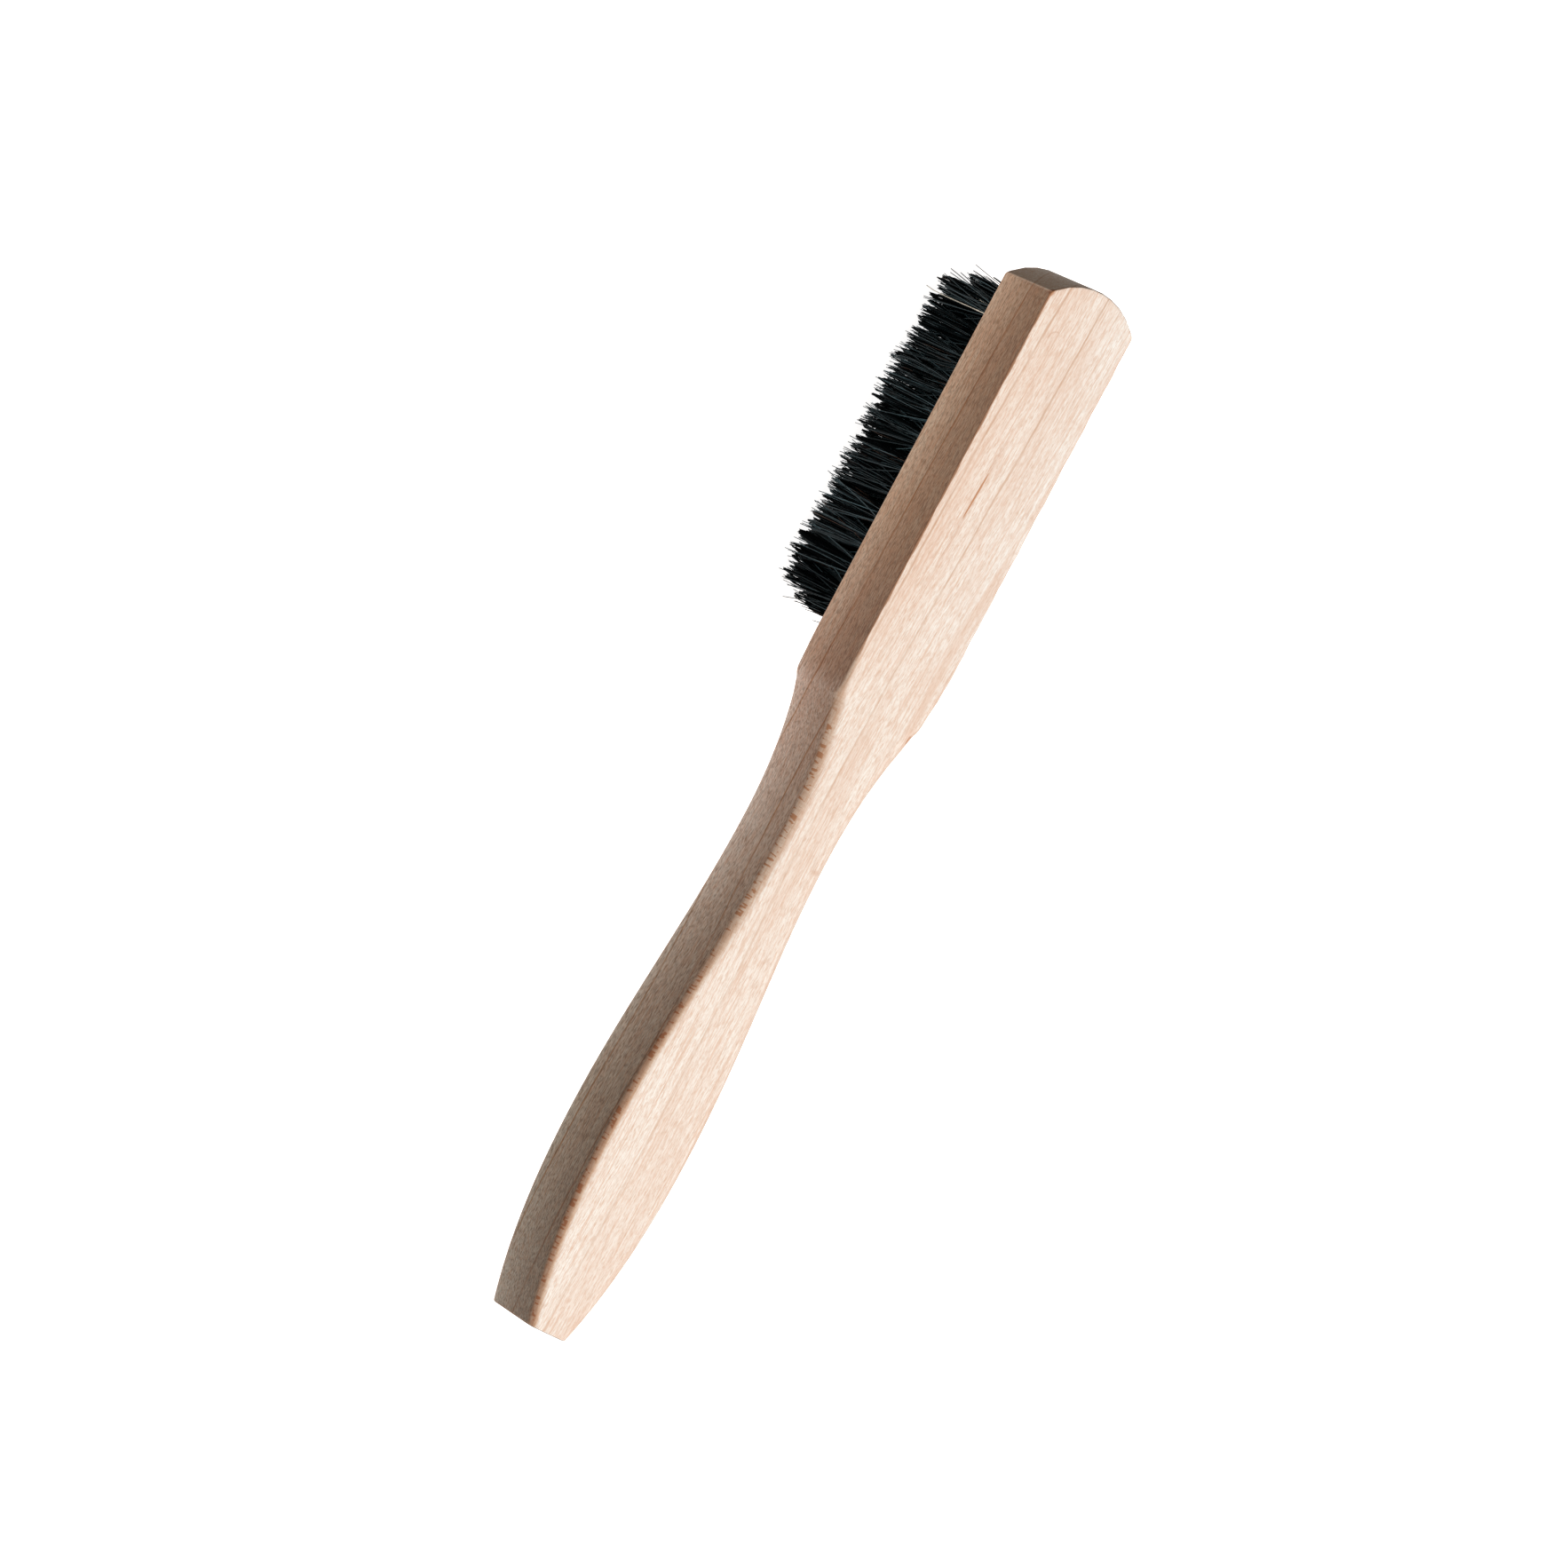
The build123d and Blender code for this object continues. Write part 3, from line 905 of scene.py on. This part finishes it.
def horsehair(look):
    """Natural black bristle, a little glossy, with a soft change of shade along its length."""
    material, tree = new_tree("bristle")
    own = node(tree, "ShaderNodeAttribute", attribute_name="bristle_colour", attribute_type="GEOMETRY")
    place = in_millimetres(tree, node(tree, "ShaderNodeTexCoord"))
    shade = step(tree, noise(tree, place, (1.2, 1.2, 0.25), 2), 0.3, 0.7, 0.6, 1.5)
    colour = toned(tree, own.outputs["Color"], shade)
    rough = step(tree, noise(tree, place, (3.0, 3.0, 0.5), 2), 0.3, 0.7, 0.36, 0.52)
    sheen = step(tree, own.outputs["Fac"], 0.002, 0.04, 0.005, 0.3)
    shader = node(tree, "ShaderNodeBsdfPrincipled", {"Base Color": colour, "Roughness": rough,
                                                     "Specular IOR Level": sheen})
    node(tree, "ShaderNodeOutputMaterial", {0: shader.outputs[0]})
    return material


def end_lean(x, first, last):
    """Lean of a tuft at x, for being one of the first or of the last of the field."""
    lean = FIRST_LEAN * (1 - smooth(x, first, first + 20 * MM)) + LAST_LEAN * smooth(x, last - 8 * MM, last)
    return np.array([-lean, 0.0])


def row_of_bristles(number, template, paths, colours, thickness, material):
    """Makes the bristles of one row a piece, its template bent along every path."""
    bm = bmesh.new()
    for _ in paths:
        bm.from_mesh(template)
    piece = dress(bm, f"bristles_{number:02d}", "bristle", f"tuft_row_{number:02d}")
    mesh = piece.data
    mesh.vertices.foreach_set("co", tubes(paths, thickness).astype(np.float32).ravel())
    shades = mesh.attributes.new("bristle_colour", "FLOAT_COLOR", "POINT")
    opaque = np.concatenate([colours, np.ones((len(colours), 1))], -1)
    shades.data.foreach_set("color", opaque.repeat(paths.shape[1] * 3, axis=0).astype(np.float32).ravel())
    mesh.update()
    mesh.materials.append(material)


class BRUSH_OT_bristles(bpy.types.Operator):
    """Models the folded bristles of every tuft, one piece for each row across the head"""

    bl_idname = "brush.bristles"
    bl_label = "Bristles"

    def execute(self, context):
        look = context.scene.brush_bristle
        points = 2 * len(LEG_SHARES) + len(FOLD_ANGLES)
        template = bristle_template(points)
        material = horsehair(look)
        rng = np.random.default_rng(look.seed)
        rows = tuft_rows()
        first, last = rows[0][0][0], rows[-1][0][0]
        ends = np.abs(np.linspace(-1, 1, points))
        taper = look.root_thickness + (look.tip_thickness - look.root_thickness) * ends ** 4
        for number, places in enumerate(rows, start=1):
            paths, colours = [], []
            for x, y in places:
                tuft, stray = tuft_paths(rng, look, x, y, end_lean(x, first, last))
                paths.append(tuft)
                colours.append(bristle_colours(rng, look, stray))
            paths, colours = np.concatenate(paths), np.concatenate(colours)
            thickness = taper[None] * rng.uniform(0.8, 1.2, (len(paths), 1))
            if number == CREAM_ROW:
                show_cream_bristle(look, paths, colours, thickness)
            row_of_bristles(number, template, paths, colours, thickness, material)
        bpy.data.meshes.remove(template)
        return {"FINISHED"}


# ---- Anchors ----

def drawn_wire():
    """Steel wire, with the fine scratches that drawing it leaves along it."""
    material, tree = new_tree("drawn_wire")
    place = in_millimetres(tree, node(tree, "ShaderNodeTexCoord"))
    scratches = noise(tree, place, (12.0, 0.6, 12.0), 3)
    colour = blend(tree, scratches, rgba((0.50, 0.50, 0.51)), rgba((0.66, 0.66, 0.66)))
    rough = step(tree, scratches, 0.3, 0.7, 0.28, 0.42)
    bump = node(tree, "ShaderNodeBump", {"Height": scratches, "Distance": 0.01 * MM, "Strength": 0.5})
    shader = node(tree, "ShaderNodeBsdfPrincipled", {"Base Color": colour, "Metallic": 1.0,
                                                     "Roughness": rough, "Normal": bump.outputs[0]})
    node(tree, "ShaderNodeOutputMaterial", {0: shader.outputs[0]})
    return material


class BRUSH_OT_anchors(bpy.types.Operator):
    """Gives the flat wire anchors their drawn steel finish"""

    bl_idname = "brush.anchors"
    bl_label = "Anchors"

    def execute(self, context):
        material = drawn_wire()
        for name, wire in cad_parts.items():
            if name.startswith("anchor_row_"):
                wire.data.materials.clear()
                wire.data.materials.append(material)
        return {"FINISHED"}


# ---- Stage ----

FLOOR_REACH = 6.0       # metres from the middle of the floor to each side
FLOOR_GLOW = 0.9        # added to what the floor sends back, where it is seen directly
SENSOR_WIDTH = 36.0     # of the camera, in millimetres


def seen_directly(tree):
    """1 for what the camera, a reflection or a clear material sees, 0 for light that reaches the brush."""
    path = node(tree, "ShaderNodeLightPath").outputs
    return maths(tree, "MAXIMUM", path["Is Camera Ray"],
                 maths(tree, "MAXIMUM", path["Is Glossy Ray"], path["Is Transmission Ray"]))


def paper(colour):
    """Matt paper that colours the light on the brush, looks nearly white, and is clear from below."""
    material, tree = new_tree("paper")
    matt = node(tree, "ShaderNodeBsdfDiffuse", {"Color": rgba(colour)})
    glow = node(tree, "ShaderNodeEmission", {"Strength": product(tree, seen_directly(tree), FLOOR_GLOW)})
    both = node(tree, "ShaderNodeAddShader", {0: matt.outputs[0], 1: glow.outputs[0]})
    clear = node(tree, "ShaderNodeBsdfTransparent")
    from_below = node(tree, "ShaderNodeNewGeometry").outputs["Backfacing"]
    sheet = node(tree, "ShaderNodeMixShader", {0: from_below, 1: both.outputs[0], 2: clear.outputs[0]})
    node(tree, "ShaderNodeOutputMaterial", {0: sheet.outputs[0]})
    return material


def lay_floor(look):
    """The sheet of paper that the brush stands on."""
    bm = bmesh.new()
    bmesh.ops.create_grid(bm, x_segments=1, y_segments=1, size=FLOOR_REACH)
    mesh = bpy.data.meshes.new("floor")
    bm.to_mesh(mesh)
    bm.free()
    floor = bpy.data.objects.new("floor", mesh)
    bpy.context.collection.objects.link(floor)
    mesh.materials.append(paper(look.floor_colour))


def light_all_round(look):
    """A world that lights the brush softly and is itself seen as white."""
    world = bpy.data.worlds.new("studio")
    bpy.context.scene.world = world
    world.use_nodes = True
    tree = world.node_tree
    tree.nodes.clear()
    colour = blend(tree, seen_directly(tree), rgba(look.ambient), rgba((1.0, 1.0, 1.0)))
    backdrop = node(tree, "ShaderNodeBackground", {"Color": colour, "Strength": 1.0})
    node(tree, "ShaderNodeOutputWorld", {0: backdrop.outputs[0]})


def hang_lamp(name, direction, away, size, power):
    """A square lamp that faces the brush and isn't seen itself."""
    lamp = bpy.data.lights.new(name, "AREA")
    lamp.shape = "SQUARE"
    lamp.size = size
    lamp.energy = power
    light = bpy.data.objects.new(name, lamp)
    towards = Vector(direction).normalized()
    light.location = towards * away
    light.rotation_mode = "QUATERNION"
    light.rotation_quaternion = towards.to_track_quat("Z", "Y")
    light.visible_camera = False
    light.visible_glossy = False
    bpy.context.collection.objects.link(light)


def place_camera(look):
    """The camera, turned from its line of sight and its roll."""
    shot = bpy.data.cameras.new("camera")
    shot.sensor_width = SENSOR_WIDTH
    shot.lens = look.lens
    shot.clip_start = 0.05
    shot.clip_end = 20.0
    camera = bpy.data.objects.new("camera", shot)
    azimuth, elevation = look.camera_azimuth, look.camera_elevation
    back = Vector((math.sin(azimuth) * math.cos(elevation), -math.cos(azimuth) * math.cos(elevation),
                   math.sin(elevation)))
    level = Vector((0, 0, 1)).cross(back).normalized()
    right = Matrix.Rotation(look.camera_roll, 3, back) @ level
    above = back.cross(right)
    turned = Matrix((right, above, back)).transposed().to_4x4()
    camera.matrix_world = Matrix.Translation(look.camera_place) @ turned
    bpy.context.collection.objects.link(camera)
    bpy.context.scene.camera = camera


class BRUSH_OT_stage(bpy.types.Operator):
    """Sets the pale floor, the soft studio light and the camera"""

    bl_idname = "brush.stage"
    bl_label = "Stage"

    def execute(self, context):
        look = context.scene.brush_stage
        lay_floor(look)
        light_all_round(look)
        hang_lamp("key_light", look.key_direction, look.light_distance, look.key_size, look.key_power)
        hang_lamp("fill_light", look.fill_direction, look.light_distance, look.fill_size, look.fill_power)
        place_camera(look)
        context.scene.view_settings.view_transform = "Standard"
        return {"FINISHED"}


# ---- Panel and registration ----

class BRUSH_PT_panel(bpy.types.Panel):
    """Sizes, colours and operators of the brush"""

    bl_idname = "BRUSH_PT_panel"
    bl_label = "Clothes Brush"
    bl_space_type = "VIEW_3D"
    bl_region_type = "UI"
    bl_category = "Brush"

    def draw(self, context):
        layout = self.layout
        for group in (context.scene.brush_body, context.scene.brush_wood, context.scene.brush_bristle,
                      context.scene.brush_stage):
            box = layout.box()
            for name in type(group).__annotations__:
                box.prop(group, name)
        for operator in OPERATORS:
            layout.operator(operator.bl_idname)


OPERATORS = (BRUSH_OT_stage, BRUSH_OT_wooden_body, BRUSH_OT_bristles, BRUSH_OT_anchors)
GROUPS = {"brush_body": BrushBodySizes, "brush_wood": BrushWoodLook, "brush_bristle": BrushBristleLook,
          "brush_stage": BrushStageLook}


def register():
    for cls in (*GROUPS.values(), *OPERATORS, BRUSH_PT_panel):
        bpy.utils.register_class(cls)
    for name, group in GROUPS.items():
        setattr(bpy.types.Scene, name, PointerProperty(type=group))


def unregister():
    for name in GROUPS:
        delattr(bpy.types.Scene, name)
    for cls in reversed((*GROUPS.values(), *OPERATORS, BRUSH_PT_panel)):
        bpy.utils.unregister_class(cls)


def main():
    register()
    bpy.ops.brush.stage()
    bpy.ops.brush.wooden_body()
    bpy.ops.brush.bristles()
    bpy.ops.brush.anchors()


if __name__ == "__main__":
    main()
